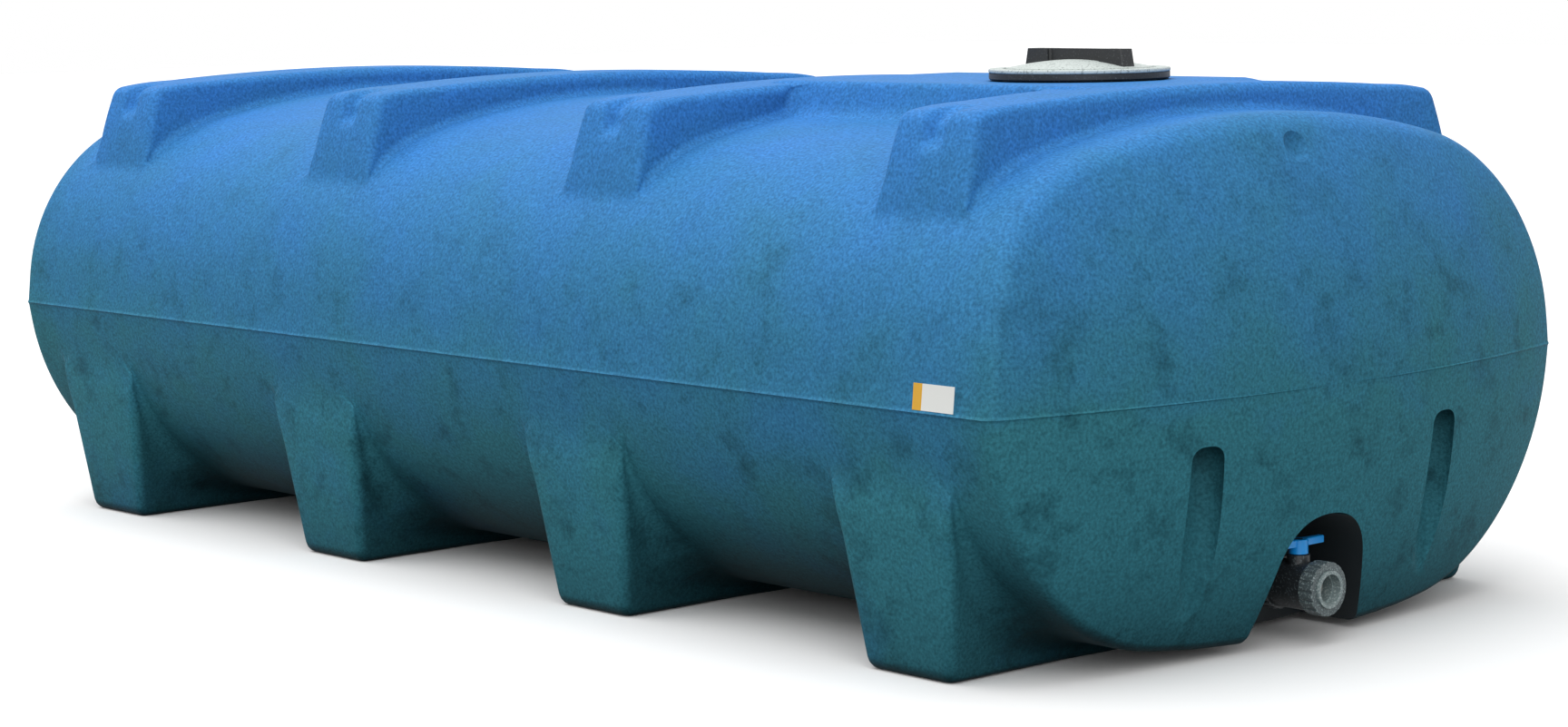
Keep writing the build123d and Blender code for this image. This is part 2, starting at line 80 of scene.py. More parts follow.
def smoothFaces(piece):
    for polygon in piece.data.polygons:
        polygon.use_smooth = True
    piece.data.set_sharp_from_angle(angle=sharpTurn)


def arcPoints(middle, radius, start, end, steps=60):
    angles = np.linspace(start, end, steps)
    return [(middle[0] + radius * math.cos(a), middle[1] + radius * math.sin(a)) for a in angles]


def circleThrough(low, middle, high):
    (ax, ay), (bx, by), (cx, cy) = low, middle, high
    d = 2 * (ax * (by - cy) + bx * (cy - ay) + cx * (ay - by))
    a, b, c = ax * ax + ay * ay, bx * bx + by * by, cx * cx + cy * cy
    x = (a * (by - cy) + b * (cy - ay) + c * (ay - by)) / d
    y = (a * (cx - bx) + b * (ax - cx) + c * (bx - ax)) / d
    return (x, y), math.hypot(ax - x, ay - y)


def innerFillet(first, second, radius, near):
    # Middle of a round that lies inside two circles and touches both
    (ax, ay), ra = first
    (bx, by), rb = second
    ra, rb = ra - radius, rb - radius
    gap = math.hypot(bx - ax, by - ay)
    along = (ra * ra - rb * rb + gap * gap) / (2 * gap)
    across = math.sqrt(ra * ra - along * along)
    ux, uy = (bx - ax) / gap, (by - ay) / gap
    spots = [(ax + along * ux - s * across * uy, ay + along * uy + s * across * ux) for s in (1, -1)]
    return min(spots, key=lambda p: math.hypot(p[0] - near[0], p[1] - near[1]))


def roundCorner(before, corner, after, radius, steps=10):
    into = Vector(corner) - Vector(before)
    out = Vector(after) - Vector(corner)
    turn = into.angle(out)
    trim = radius * math.tan(turn / 2)
    start = Vector(corner) - into.normalized() * trim
    end = Vector(corner) + out.normalized() * trim
    points = []
    for i in range(steps + 1):
        t = i / steps
        points.append(tuple((1 - t) ** 2 * start + 2 * t * (1 - t) * Vector(corner) + t * t * end))
    return points


def smoothMax(first, second, blend):
    share = np.clip(1 - np.abs(first - second) / blend, 0, None)
    return np.maximum(first, second) + share * share * blend / 4


def smoothStep(low, high, value):
    t = np.clip((value - low) / (high - low), 0, 1)
    return t * t * (3 - 2 * t)


# Sizes are in metres. X runs along the tank, Z is up and the feet stand on Z = 0.
# A corner is its half width, height and radius. A fall is how far the section drops
# away from the parting line, and over how many degrees.
barrel = {
    "bellyHeight": 0.014,
    "seamHeight": 0.544,
    "crownHeight": 1.088,
    "sideHalf": 0.885,
    "lowCorner": (0.815, 0.085, 0.490),
    "shoulder": (0.858, 0.935, 0.420),
    "seamRise": 0.0028,
    "seamTurn": 0.3,
    "seamPole": 0.2,
    "upperFall": (0.0115, 32.0),
    "lowerFall": (0.0215, 60.0),
    "fallScale": 6.75,
    "cavityInset": 0.036,
    "cavityReach": 1.56,
    "cavityStep": 6,
    "bayRings": 8,
}
seam = barrel["seamHeight"]


def radial(points, angle):
    # Reach of an outline of (Y, Z) points from the middle of the seam, at each angle
    spread = sorted((math.atan2(z - seam, y), math.hypot(y, z - seam)) for y, z in points)
    return np.interp(angle, [s[0] for s in spread], [s[1] for s in spread])


def barrelOutline(inset):
    lowHalf, low, lowRadius = barrel["lowCorner"]
    highHalf, high, highRadius = barrel["shoulder"]
    belly = circleThrough((-lowHalf, low), (0, barrel["bellyHeight"]), (lowHalf, low))
    side = circleThrough((lowHalf, low), (barrel["sideHalf"], seam), (highHalf, high))
    crown = circleThrough((-highHalf, high), (0, barrel["crownHeight"]), (highHalf, high))
    lowMiddle = innerFillet(belly, side, lowRadius, (lowHalf, low))
    highMiddle = innerFillet(crown, side, highRadius, (highHalf, high))

    def facing(circle, spot):
        return math.atan2(spot[1] - circle[0][1], spot[0] - circle[0][0])

    bellyEnd, sideStart = facing(belly, lowMiddle), facing(side, lowMiddle)
    sideEnd, crownStart = facing(side, highMiddle), facing(crown, highMiddle)
    points = arcPoints(belly[0], belly[1] - inset, -quarter, bellyEnd)
    points += arcPoints(lowMiddle, lowRadius - inset, bellyEnd, sideStart)
    points += arcPoints(side[0], side[1] - inset, sideStart, sideEnd)
    points += arcPoints(highMiddle, highRadius - inset, sideEnd, crownStart)
    points += arcPoints(crown[0], crown[1] - inset, crownStart, quarter)
    return points


def seamFall(fall, angle):
    share = np.clip(np.abs(angle) / fall[1], 0, 1)
    return fall[0] * barrel["fallScale"] * share * (1 - share) ** 2


def sectionRadius(angle):
    # The barrel's section, with a slight crease along the parting line
    turn = np.degrees(angle)
    fall = np.where(turn > 0, seamFall(barrel["upperFall"], turn), seamFall(barrel["lowerFall"], turn))
    return radial(barrelOutline(0.0), angle) - fall


# Columns of the skin run round the section, close together where the form turns.
# A dense spot is its middle and reach in degrees and its count of columns.
columns = {
    "count": 101,
    "dense": (
        (0, 0.6, 9), (-33.9, 5.0, 17), (-12, 8, 9), (37.5, 6.5, 23), (26, 5.0, 15), (63, 5.5, 21),
    ),
    "leastGap": 0.14,
}
spots = list(np.linspace(-90, 90, columns["count"]))
for middle, reach, count in columns["dense"]:
    spots += list(np.linspace(middle - reach, middle + reach, count))
spots = sorted(set(round(s, 3) for s in spots))
kept = [spots[0]]
for spot in spots[1:]:
    if spot - kept[-1] > columns["leastGap"] or spot in (0.0, 90.0):
        kept.append(spot)
half = np.radians(kept)
theta = np.concatenate([half, half[-2:0:-1]])
mirror = np.concatenate([np.ones(len(half)), -np.ones(len(half) - 2)])
columnCount = len(theta)
degrees = np.degrees(theta)
sine, cosine = np.sin(theta), np.cos(theta)
upper = theta >= 0
baseRadius = sectionRadius(theta)
seamRidge = barrel["seamRise"] * np.clip(1 - np.abs(degrees) / barrel["seamTurn"], 0, 1)

# Strap ribs over the top. The notch turns are the degrees where the strap's notch starts and ends.
rib = {
    "crownHeight": 1.144,
    "camber": 0.033,
    "topHalf": 0.714,
    "rootHeight": 0.880,
    "buried": 0.4,
    "lean": math.radians(13.5),
    "endRadius": 0.040,
    "endTurn": 0.02,
    "topWidth": 0.221,
    "draft": math.radians(4.0),
    "edgeRadius": 0.022,
    "coveRadius": 0.020,
    "endCove": 0.010,
    "notchHalf": 0.037,
    "notchFlat": 0.020,
    "notchDepth": 0.024,
    "notchTurns": (33.2, 36.8, 37.5, 38.5, 43.0),
}


def ribOutline():
    edge = rib["crownHeight"] - rib["camber"]
    crown = circleThrough((-rib["topHalf"], edge), (0, rib["crownHeight"]), (rib["topHalf"], edge))
    start = math.atan2(edge - crown[0][1], rib["topHalf"])
    top = arcPoints(crown[0], crown[1], start + rib["endTurn"], quarter)
    root = (rib["topHalf"] + (edge - rib["rootHeight"]) * math.tan(rib["lean"]), rib["rootHeight"])
    corner = roundCorner(root, (rib["topHalf"], edge), top[0], rib["endRadius"])
    return [(root[0], rib["buried"]), root] + corner + top


ribRadius = smoothMax(np.where(theta > 0, radial(ribOutline(), theta), 0), baseRadius, rib["endCove"])
notchStart, notchFull, notchMiddle, notchLast, notchEnd = rib["notchTurns"]
notchShare = np.where(
    degrees > notchMiddle,
    smoothStep(notchEnd, notchLast, degrees),
    smoothStep(notchStart, notchFull, degrees),
)

# Feet under the belly, which fade into the side over a few degrees below the seam
foot = {
    "half": 0.811,
    "width": 0.240,
    "draft": math.radians(7.5),
    "reach": 0.540,
    "faceStart": 0.06,
    "top": 0.440,
    "topFall": 0.04,
    "cornerRadius": 0.030,
    "edgeRadius": 0.022,
    "coveRadius": 0.085,
    "endCove": 0.024,
    "fade": (5.0, 15.0),
    "soleSteps": 60,
    "faceSteps": 40,
}


def footOutline():
    slope = math.tan(foot["draft"])
    topHalf = foot["half"] + foot["reach"] * slope
    corner = roundCorner((0, 0), (foot["half"], 0), (topHalf, foot["reach"]), foot["cornerRadius"])
    sole = [(foot["half"] * i / foot["soleSteps"], 0) for i in range(foot["soleSteps"] - 2)]
    heights = np.linspace(foot["faceStart"], foot["top"], foot["faceSteps"])
    face = [corner[-1]] + [(foot["half"] + z * slope, z) for z in heights]
    return sole + corner + face + [(foot["half"], foot["top"] + foot["topFall"])]


footRadius = smoothMax(np.where(theta < 0, radial(footOutline(), theta), 0), baseRadius, foot["endCove"])
footRadius = baseRadius + (footRadius - baseRadius) * smoothStep(*foot["fade"], -degrees)
floorRadius = seam / np.maximum(-sine, tiny)
footRadius = np.where(theta < 0, np.minimum(footRadius, floorRadius), baseRadius)
featureRadius = np.where(upper, ribRadius, footRadius)

# Raised deck between the last two ribs
deck = {
    "height": 1.146,
    "half": 0.290,
    "draft": math.radians(8.0),
    "depth": 0.25,
    "buried": 0.4,
    "edgeRadius": 0.020,
    "cove": 0.035,
    "topSteps": 40,
}


def deckOutline():
    root = (deck["half"] + deck["depth"] * math.tan(deck["draft"]), deck["height"] - deck["depth"])
    corner = roundCorner(root, (deck["half"], deck["height"]), (0, deck["height"]), deck["edgeRadius"])
    top = [(deck["half"] * i / deck["topSteps"], deck["height"]) for i in range(deck["topSteps"] - 3)]
    return [(root[0], deck["buried"]), root] + corner + top


deckRadius = smoothMax(np.where(theta > 0, radial(deckOutline(), theta), 0), baseRadius, deck["cove"])

# Rings of the skin on one side of a rib: places on its crest, then turns and shares down its flank
flankSteps = {
    "crest": (0.008, 0.014, 0.020, 0.026, 0.032, 0.038, 0.060),
    "edgeTurns": (0, 18, 36, 54, 72, 90),
    "wallShares": (0.25, 0.5, 0.75),
    "coveTurns": (0, 15, 30, 45, 60, 75, 90),
    "edgeShare": 0.45,
    "coveShare": 0.5,
    "fadeRise": 0.012,
    "plain": (0.092, 0.205),
}


def halfWidth(height):
    ribHalf = rib["topWidth"] / 2 + (rib["crownHeight"] - height) * math.tan(rib["draft"])
    footHalf = foot["width"] / 2 + height * math.tan(foot["draft"])
    return np.where(upper, ribHalf, footHalf)


def flank(place, side, ground):
    # Rings from the middle of a rib and its foot out to the barrel on one side, as (X, radius) pairs
    rise = np.maximum(featureRadius - ground, 0)
    topHalf = halfWidth(seam + (ground + rise) * sine)
    baseHalf = halfWidth(seam + ground * sine)
    edge = np.where(upper, rib["edgeRadius"], foot["edgeRadius"])
    edge = np.minimum(edge, flankSteps["edgeShare"] * rise)
    cove = np.where(upper, rib["coveRadius"], foot["coveRadius"])
    cove = np.minimum(cove, flankSteps["coveShare"] * rise)
    crest = flankSteps["crest"]
    found = []
    for out in crest:
        dip = rib["notchDepth"] * float(smoothStep(rib["notchHalf"], rib["notchFlat"], out)) * notchShare
        joined = float(smoothStep(crest[0], crest[-1], out))
        top = featureRadius + joined * (np.maximum(featureRadius, ground) - featureRadius)
        found.append((place + side * np.full(columnCount, out), top - dip))
    profile = []
    for turn in np.radians(flankSteps["edgeTurns"]):
        profile.append((-edge * (1 - math.sin(turn)), rise - edge * (1 - math.cos(turn))))
    for share in flankSteps["wallShares"]:
        profile.append((np.zeros(columnCount), rise - edge - share * (rise - edge - cove)))
    for turn in np.radians(flankSteps["coveTurns"]):
        profile.append((cove * (1 - math.cos(turn)), cove * (1 - math.sin(turn))))
    shown = smoothStep(0.0, flankSteps["fadeRise"], rise)
    plainPlaces = np.linspace(*flankSteps["plain"], len(profile))
    for plainPlace, (shift, level) in zip(plainPlaces, profile):
        fall = np.where(rise > 0, 1 - level / np.maximum(rise, tiny), 0)
        wallPlace = topHalf + (baseHalf - topHalf) * fall
        reach = plainPlace + shown * (wallPlace + shift - plainPlace)
        found.append((place + side * reach, ground + level))
    return found


ribPlaces = [sum(corner[0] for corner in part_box(f"rib_{i}")) / 2 for i in range(1, 5)]
bayGround = [baseRadius, baseRadius, deckRadius]  # between the ribs, from the closed end on
ribRings = []
for index, place in enumerate(ribPlaces):
    before = bayGround[index - 1] if index else baseRadius
    after = bayGround[index] if index < len(bayGround) else baseRadius
    ribRings.append(flank(place, -1, before)[::-1] + flank(place, 1, after))
rings = []
for index, group in enumerate(ribRings):
    rings += group
    if index < len(bayGround):
        start, end = group[-1][0], ribRings[index + 1][0][0]
        for step in np.linspace(0, 1, barrel["bayRings"])[1:-1]:
            rings.append((start + step * (end - start), bayGround[index]))

# Domed ends, with a rim that grows rounder towards the shoulder
dome = {
    "reach": 1.930,
    "planRadius": 3.200,
    "upperRadius": 1.020,
    "lowerRadius": 1.450,
    "rimRadius": 0.022,
    "shoulderRim": 0.040,
    "shoulderTurns": (6, 34),
    "sideShares": (0.35, 0.7),
    "rimTurns": (0, 12, 26, 40, 54, 68, 80, 90),
    "rings": 16,
}


def domePlace(y, z):
    rise = z - seam
    upright = np.where(rise > 0, dome["upperRadius"], dome["lowerRadius"])
    bend = dome["planRadius"] - upright + np.sqrt(upright ** 2 - rise * rise)
    return dome["reach"] - dome["planRadius"] + np.sqrt(bend * bend - y * y)


def endRings(start, side):
    # Rings from a flank over the rim and in to the pole of a domed end
    found = []
    growth = (dome["shoulderRim"] - dome["rimRadius"]) * smoothStep(*dome["shoulderTurns"], degrees)
    rim = dome["rimRadius"] + growth
    rimStart = domePlace(baseRadius * cosine, seam + baseRadius * sine) - rim
    for share in dome["sideShares"]:
        found.append((start + share * (side * rimStart - start), baseRadius))
    for turn in np.radians(dome["rimTurns"]):
        radius = baseRadius - rim * (1 - math.cos(turn))
        place = domePlace(radius * cosine, seam + radius * sine)
        found.append((side * (place - rim * (1 - math.sin(turn))), radius))
    for share in np.linspace(1, 0, dome["rings"])[1:-1]:
        radius = (baseRadius - rim) * share
        place = domePlace(radius * cosine, seam + radius * sine)
        found.append((side * place, radius))
    return found


rings = endRings(rings[0][0], -1)[::-1] + rings + endRings(rings[-1][0], 1)


def loft(name, rings):
    bm = bmesh.new()
    column = bm.verts.layers.int.new("column")
    made = bmesh.ops.create_circle(bm, segments=columnCount, radius=1.0)["verts"]
    for number, vert in enumerate(made):
        vert[column] = number
    bm.edges.ensure_lookup_table()
    edges = list(bm.edges)
    first = made
    for number, (places, radii) in enumerate(rings):
        if number:
            grown = bmesh.ops.extrude_edge_only(bm, edges=edges)["geom"]
            made = [g for g in grown if isinstance(g, bmesh.types.BMVert)]
            edges = [g for g in grown if isinstance(g, bmesh.types.BMEdge)]
        inward = np.clip((baseRadius - radii) / dome["rimRadius"], 0, 1) * (radii < baseRadius)
        onEnd = np.sign(places) * inward
        places = places + onEnd * seamRidge * np.minimum(1, radii / barrel["seamPole"])
        radii = radii + (1 - np.abs(onEnd)) * seamRidge
        for vert in made:
            at = vert[column]
            across, rise = mirror[at] * radii[at] * cosine[at], radii[at] * sine[at]
            vert.co = (places[at], across, seam + rise)
    for loop in (first, made):
        cap = bmesh.ops.contextual_create(bm, geom=loop)["faces"]
        bmesh.ops.poke(bm, faces=cap)
    bmesh.ops.recalc_face_normals(bm, faces=bm.faces)
    return meshObject(name, bm)


def prism(bm, outline, low, high, axis):
    # A closed outline of (a, b) pairs extruded along X or Z
    if axis == "x":
        verts = [bm.verts.new((low, a, b)) for a, b in outline]
        shift = (high - low, 0, 0)
    else:
        verts = [bm.verts.new((a, b, low)) for a, b in outline]
        shift = (0, 0, high - low)
    face = bm.faces.new(verts)
    grown = bmesh.ops.extrude_face_region(bm, geom=[face])["geom"]
    moved = [g for g in grown if isinstance(g, bmesh.types.BMVert)]
    bmesh.ops.translate(bm, verts=moved, vec=shift)
    return moved


def cut(target, bm):
    bmesh.ops.recalc_face_normals(bm, faces=bm.faces)
    tool = meshObject("cutter", bm)
    step = target.modifiers.new("cut", "BOOLEAN")
    step.operation = "DIFFERENCE"
    step.solver = "EXACT"
    step.object = tool
    made = bpy.data.meshes.new_from_object(target.evaluated_get(bpy.context.evaluated_depsgraph_get()))
    target.modifiers.clear()
    target.data = made
    bpy.data.objects.remove(tool)


shell = loft("moulded_shell", rings)
print("skin", len(shell.data.polygons))

# The hollow inside, the niche, the end grooves and the dimples come out of the skin in one cut
cutters = bmesh.new()
inner = barrelOutline(barrel["cavityInset"])[::barrel["cavityStep"]]
inner = inner + [(-y, z) for y, z in inner[::-1] if y > tiny]
prism(cutters, inner, -barrel["cavityReach"], barrel["cavityReach"], "x")

niche = {
    "footHalf": 0.184,
    "flare": 0.014,
    "topHalf": 0.106,
    "height": 0.276,
    "archRadius": 0.138,
    "archSteps": 14,
    "clear": 0.05,
}
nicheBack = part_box("flange_seal")[0][0]
arch = [(niche["footHalf"] + niche["flare"], -niche["clear"])]
arch += roundCorner(
    (niche["footHalf"], 0), (niche["topHalf"], niche["height"]), (0, niche["height"]),
    niche["archRadius"], niche["archSteps"],
)
arch += [(-y, z) for y, z in arch[::-1]]
prism(cutters, arch, nicheBack, dome["reach"] + niche["clear"], "x")

groove = {
    "side": 0.372,
    "radius": 0.046,
    "depth": 0.090,
    "top": 0.452,
    "bottom": 0.02,
    "steps": 32,
    "roundShare": 0.6,
}
dimple = {"height": 1.020, "radius": 0.036, "depth": 0.015}
for end in (1, -1):
    for side in (1, -1):
        place = end * (dome["reach"] - groove["depth"] + groove["radius"])
        turns = np.linspace(0, 2 * math.pi, groove["steps"] + 1)[:-1]
        radius = groove["radius"]
        ring = [
            (place + radius * math.cos(t), side * groove["side"] + radius * math.sin(t)) for t in turns
        ]
        top = prism(cutters, ring, groove["bottom"], groove["top"], "z")
        rim = [e for e in cutters.edges if e.verts[0] in top and e.verts[1] in top]
        bmesh.ops.bevel(
            cutters, geom=rim, offset=radius * groove["roundShare"], segments=6, profile=0.5,
            affect="EDGES", material=-1,
        )
    lean = (dimple["height"] - seam) / dome["upperRadius"]
    ball = (dimple["radius"] ** 2 + dimple["depth"] ** 2) / (2 * dimple["depth"])
    middle = dome["upperRadius"] + ball - dimple["depth"]
    spot = Vector((
        end * (dome["reach"] - dome["upperRadius"] + middle * math.sqrt(1 - lean ** 2)),
        0,
        seam + middle * lean,
    ))
    bmesh.ops.create_uvsphere(
        cutters, u_segments=64, v_segments=48, radius=ball, matrix=Matrix.Translation(spot)
    )
cut(shell, cutters)

manhole = {"radius": 0.150, "clear": 0.06, "depth": 0.2}
collarLow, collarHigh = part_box("manhole_collar")
lidPlace = (collarLow[0] + collarHigh[0]) / 2
hole = bmesh.new()
bmesh.ops.create_cone(
    hole, cap_ends=True, segments=96, radius1=manhole["radius"], radius2=manhole["radius"],
    depth=manhole["depth"], matrix=Matrix.Translation((lidPlace, 0, collarHigh[2] - manhole["clear"])),
)
cut(shell, hole)
smoothFaces(shell)
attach(shell, "tank")
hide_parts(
    "tank_top", "tank_bottom", "outlet_end", "closed_end", "lid_deck", "valve_niche",
    "parting_bead", *[f"rib_{i}" for i in range(1, 5)], *[f"foot_{i}" for i in range(1, 5)],
)
print("shell", len(shell.data.polygons))

# Plain plate on the side, just above the parting line
label = {
    "width": 0.112,
    "height": 0.052,
    "thickness": 0.0012,
    "middle": 1.655,
    "lift": 0.031,
    "gap": 0.0008,
    "bandShare": 0.22,
    "white": "#E9EAE6",
    "amber": "#E0A92B",
}
plate = bmesh.new()
bmesh.ops.create_grid(plate, x_segments=2, y_segments=10, size=0.5)
for vert in plate.verts:
    x = label["middle"] + vert.co.x * label["width"]
    z = seam + label["lift"] + vert.co.y * label["height"]
    turn = math.atan2(z - seam, barrel["sideHalf"])
    reach = float(sectionRadius(turn)) + label["gap"]
    vert.co = (x, -reach * math.cos(turn), seam + reach * math.sin(turn))
bmesh.ops.recalc_face_normals(plate, faces=plate.faces)
thick = bmesh.ops.extrude_face_region(plate, geom=list(plate.faces))["geom"]
bmesh.ops.translate(
    plate, verts=[g for g in thick if isinstance(g, bmesh.types.BMVert)], vec=(0, label["thickness"], 0)
)
bmesh.ops.recalc_face_normals(plate, faces=plate.faces)
sidePlate = meshObject("side_plate", plate)
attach(sidePlate, "tank")
print("side plate", len(sidePlate.data.polygons))

# Dark band under the lid's brim, as wide as the brim itself
band = {"inset": 0.001, "thickness": 0.022, "rise": 0.0025, "fall": 0.0005, "edge": 0.003, "steps": 128}
coverLow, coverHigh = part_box("lid_cover")
gasketLow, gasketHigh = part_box("lid_gasket")
outer = (coverHigh[0] - coverLow[0]) / 2 - band["inset"]
innerReach = outer - band["thickness"]
bandLow = deck["height"] + band["rise"]
bandHigh = collarHigh[2] + (gasketHigh[2] - gasketLow[2]) - band["fall"]
corners = [
    (innerReach, bandLow),
    (outer - band["edge"], bandLow),
    (outer, bandLow + band["edge"]),
    (outer, bandHigh),
    (innerReach, bandHigh),
]
ringShape = bmesh.new()
corners = [ringShape.verts.new((lidPlace + reach, 0, z)) for reach, z in corners]
edges = [ringShape.edges.new((corners[i - 1], corners[i])) for i in range(len(corners))]
bmesh.ops.spin(
    ringShape, geom=corners + edges, cent=(lidPlace, 0, 0), axis=(0, 0, 1), angle=math.tau,
    steps=band["steps"], use_merge=True,
)
bmesh.ops.recalc_face_normals(ringShape, faces=ringShape.faces)
lidBand = meshObject("lid_band", ringShape)
smoothFaces(lidBand)
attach(lidBand, "lid")
print("lid band", len(lidBand.data.polygons))


# Shared by the plain plastics: how sharply a fleck ends, and the grain's depth as a share of its size
plasticSkin = {"fleckEdge": 0.05, "fleckDetail": 2.0, "grainDetail": 3.0, "grainDepth": 0.3}


def plastic(
    name, color, roughness, ior, bump=0.0, grain=0.004, flecks=None, fleckSize=0.004, fleckShare=0.5
):
    # Grain and fleck sizes are in metres
    made = bpy.data.materials.new(name)
    made.use_nodes = True
    tree = made.node_tree
    tree.nodes.clear()
    place = put(tree, "ShaderNodeTexCoord").outputs["Object"]
    base = hexColor(color)
    shader = put(
        tree, "ShaderNodeBsdfPrincipled", {"Base Color": base, "Roughness": roughness, "IOR": ior}
    )
    if flecks:
        dots = put(
            tree, "ShaderNodeTexNoise",
            {"Vector": place, "Scale": 1 / fleckSize, "Detail": plasticSkin["fleckDetail"]},
        )
        low, high = fleckShare - plasticSkin["fleckEdge"], fleckShare + plasticSkin["fleckEdge"]
        ramp = put(tree, "ShaderNodeMapRange", {0: dots.outputs[0], 1: low, 2: high})
        mixed = put(
            tree, "ShaderNodeMix", {0: ramp.outputs[0], 6: base, 7: hexColor(flecks)}, data_type="RGBA"
        )
        tree.links.new(mixed.outputs[2], shader.inputs["Base Color"])
    if bump:
        fine = put(
            tree, "ShaderNodeTexNoise",
            {"Vector": place, "Scale": 1 / grain, "Detail": plasticSkin["grainDetail"]},
        )
        depth = grain * plasticSkin["grainDepth"]
        height = put(
            tree, "ShaderNodeBump", {"Height": fine.outputs[0], "Strength": bump, "Distance": depth}
        )
        tree.links.new(height.outputs[0], shader.inputs["Normal"])
    put(tree, "ShaderNodeOutputMaterial", {"Surface": shader.outputs[0]})
    return made


# Rotomoulded polyethylene: matt and slightly waxy, clear blue on top, darker and tealer towards the
# ground (partly dirt, partly painted shade) and on the ends (painted shade). Its skin has a fine orange
# peel of about half a millimetre, drawn coarser so that it shows.
# Clouds are 310 mm across, smears 110 mm and the grain 6.5 mm.
blue = {
    "clean": "#3A7DC2",
    # The colour towards the ground: partly dirt, partly painted shade
    "dirtyAndShaded": "#357684",
    "stain": "#143C46",
    "cloud": 0.310,
    "smear": 0.110,
    "smearBand": (0.52, 0.72),
    "grain": 0.0065,
    "grainDepth": 0.002,
    "grainBump": 0.12,
    "grainBand": (0.3, 0.7),
    "grainShares": (0.72, 1.28),
    "dirtAndShadeHeights": (1.10, 0.30),
    "dirtAndShadeWander": 0.9,
    # Painted shade on the ends, which face away from the light
    "paintedEndShadePlaces": (1.66, 1.80),
    "paintedEndShadeShare": 0.24,
    "stainShare": 0.7,
    # Painted shade from ambient occlusion under the belly and round the feet: its reach, band and shares
    "paintedShadeReach": 0.5,
    "paintedShadeBand": (0.2, 0.62),
    "paintedShadeShares": (0.12, 1.0),
    "roughness": 0.6,
    "ior": 1.51,
    "gloss": 0.07,
}


def mouldedBlue():
    made = bpy.data.materials.new("rotomoulded_polyethylene")
    made.use_nodes = True
    tree = made.node_tree
    tree.nodes.clear()
    place = put(tree, "ShaderNodeTexCoord").outputs["Object"]
    axes = put(tree, "ShaderNodeSeparateXYZ", {0: place})
    cloud = put(
        tree, "ShaderNodeTexNoise",
        {"Vector": place, "Scale": 1 / blue["cloud"], "Detail": 5.0, "Roughness": 0.62},
    )
    smear = put(
        tree, "ShaderNodeTexNoise",
        {"Vector": place, "Scale": 1 / blue["smear"], "Detail": 6.0, "Roughness": 0.7},
    )
    fine = put(tree, "ShaderNodeTexNoise", {"Vector": place, "Scale": 1 / blue["grain"], "Detail": 3.0})
    # Darker towards the ground (partly dirt, partly painted shade) and on the ends (painted shade); the
    # mix wanders with the clouds
    top, ground = blue["dirtAndShadeHeights"]
    lowered = put(tree, "ShaderNodeMapRange", {0: axes.outputs[2], 1: top, 2: ground})
    wander = put(
        tree, "ShaderNodeMapRange",
        {0: cloud.outputs[0], 1: 0.0, 2: 1.0, 3: -0.5 * blue["dirtAndShadeWander"], 4: 0.5 * blue["dirtAndShadeWander"]},
    )
    along = put(tree, "ShaderNodeMath", {0: axes.outputs[0]}, operation="ABSOLUTE")
    # Painted shade: the ends, which face away from the light, are mixed towards the darker teal
    rim, face = blue["paintedEndShadePlaces"]
    onEnd = put(
        tree, "ShaderNodeMapRange", {0: along.outputs[0], 1: rim, 2: face, 3: 0.0, 4: blue["paintedEndShadeShare"]}
    )
    dirtAndShadeBase = put(tree, "ShaderNodeMath", {0: lowered.outputs[0], 1: onEnd.outputs[0]}, operation="ADD")
    dirtAndShade = put(
        tree, "ShaderNodeMath",
        {0: dirtAndShadeBase.outputs[0], 1: wander.outputs[0]}, operation="ADD", use_clamp=True,
    )
    body = put(
        tree, "ShaderNodeMix",
        {0: dirtAndShade.outputs[0], 6: hexColor(blue["clean"]), 7: hexColor(blue["dirtyAndShaded"])}, data_type="RGBA",
    )
    low, high = blue["smearBand"]
    streak = put(
        tree, "ShaderNodeMapRange", {0: smear.outputs[0], 1: low, 2: high, 3: 0.0, 4: blue["stainShare"]}
    )
    amount = put(
        tree, "ShaderNodeMath", {0: streak.outputs[0], 1: dirtAndShade.outputs[0]}, operation="MULTIPLY"
    )
    stained = put(
        tree, "ShaderNodeMix",
        {0: amount.outputs[0], 6: body.outputs[2], 7: hexColor(blue["stain"])}, data_type="RGBA",
    )
    # Painted shade: ambient occlusion darkens the colour in the nooks under the belly and round the feet
    paintedShadeOcclusion = put(tree, "ShaderNodeAmbientOcclusion", {"Distance": blue["paintedShadeReach"]}, samples=6)
    low, high = blue["paintedShadeBand"]
    deep, clear = blue["paintedShadeShares"]
    paintedShadeRamp = put(
        tree, "ShaderNodeMapRange", {0: paintedShadeOcclusion.outputs["AO"], 1: low, 2: high, 3: deep, 4: clear}
    )
    paintedShadeColor = put(
        tree, "ShaderNodeMix",
        {0: 1.0, 6: stained.outputs[2], 7: paintedShadeRamp.outputs[0]}, data_type="RGBA", blend_type="MULTIPLY",
    )
    low, high = blue["grainBand"]
    dark, light = blue["grainShares"]
    speck = put(tree, "ShaderNodeMapRange", {0: fine.outputs[0], 1: low, 2: high, 3: dark, 4: light})
    grained = put(
        tree, "ShaderNodeMix",
        {0: 1.0, 6: paintedShadeColor.outputs[2], 7: speck.outputs[0]}, data_type="RGBA", blend_type="MULTIPLY",
    )
    peel = put(
        tree, "ShaderNodeBump",
        {"Height": fine.outputs[0], "Strength": blue["grainBump"], "Distance": blue["grainDepth"]},
    )
    shader = put(
        tree, "ShaderNodeBsdfPrincipled",
        {
            "Base Color": grained.outputs[2], "Roughness": blue["roughness"], "IOR": blue["ior"],
            "Specular IOR Level": blue["gloss"], "Normal": peel.outputs[0],
        },
    )
    put(tree, "ShaderNodeOutputMaterial", {"Surface": shader.outputs[0]})
    return made


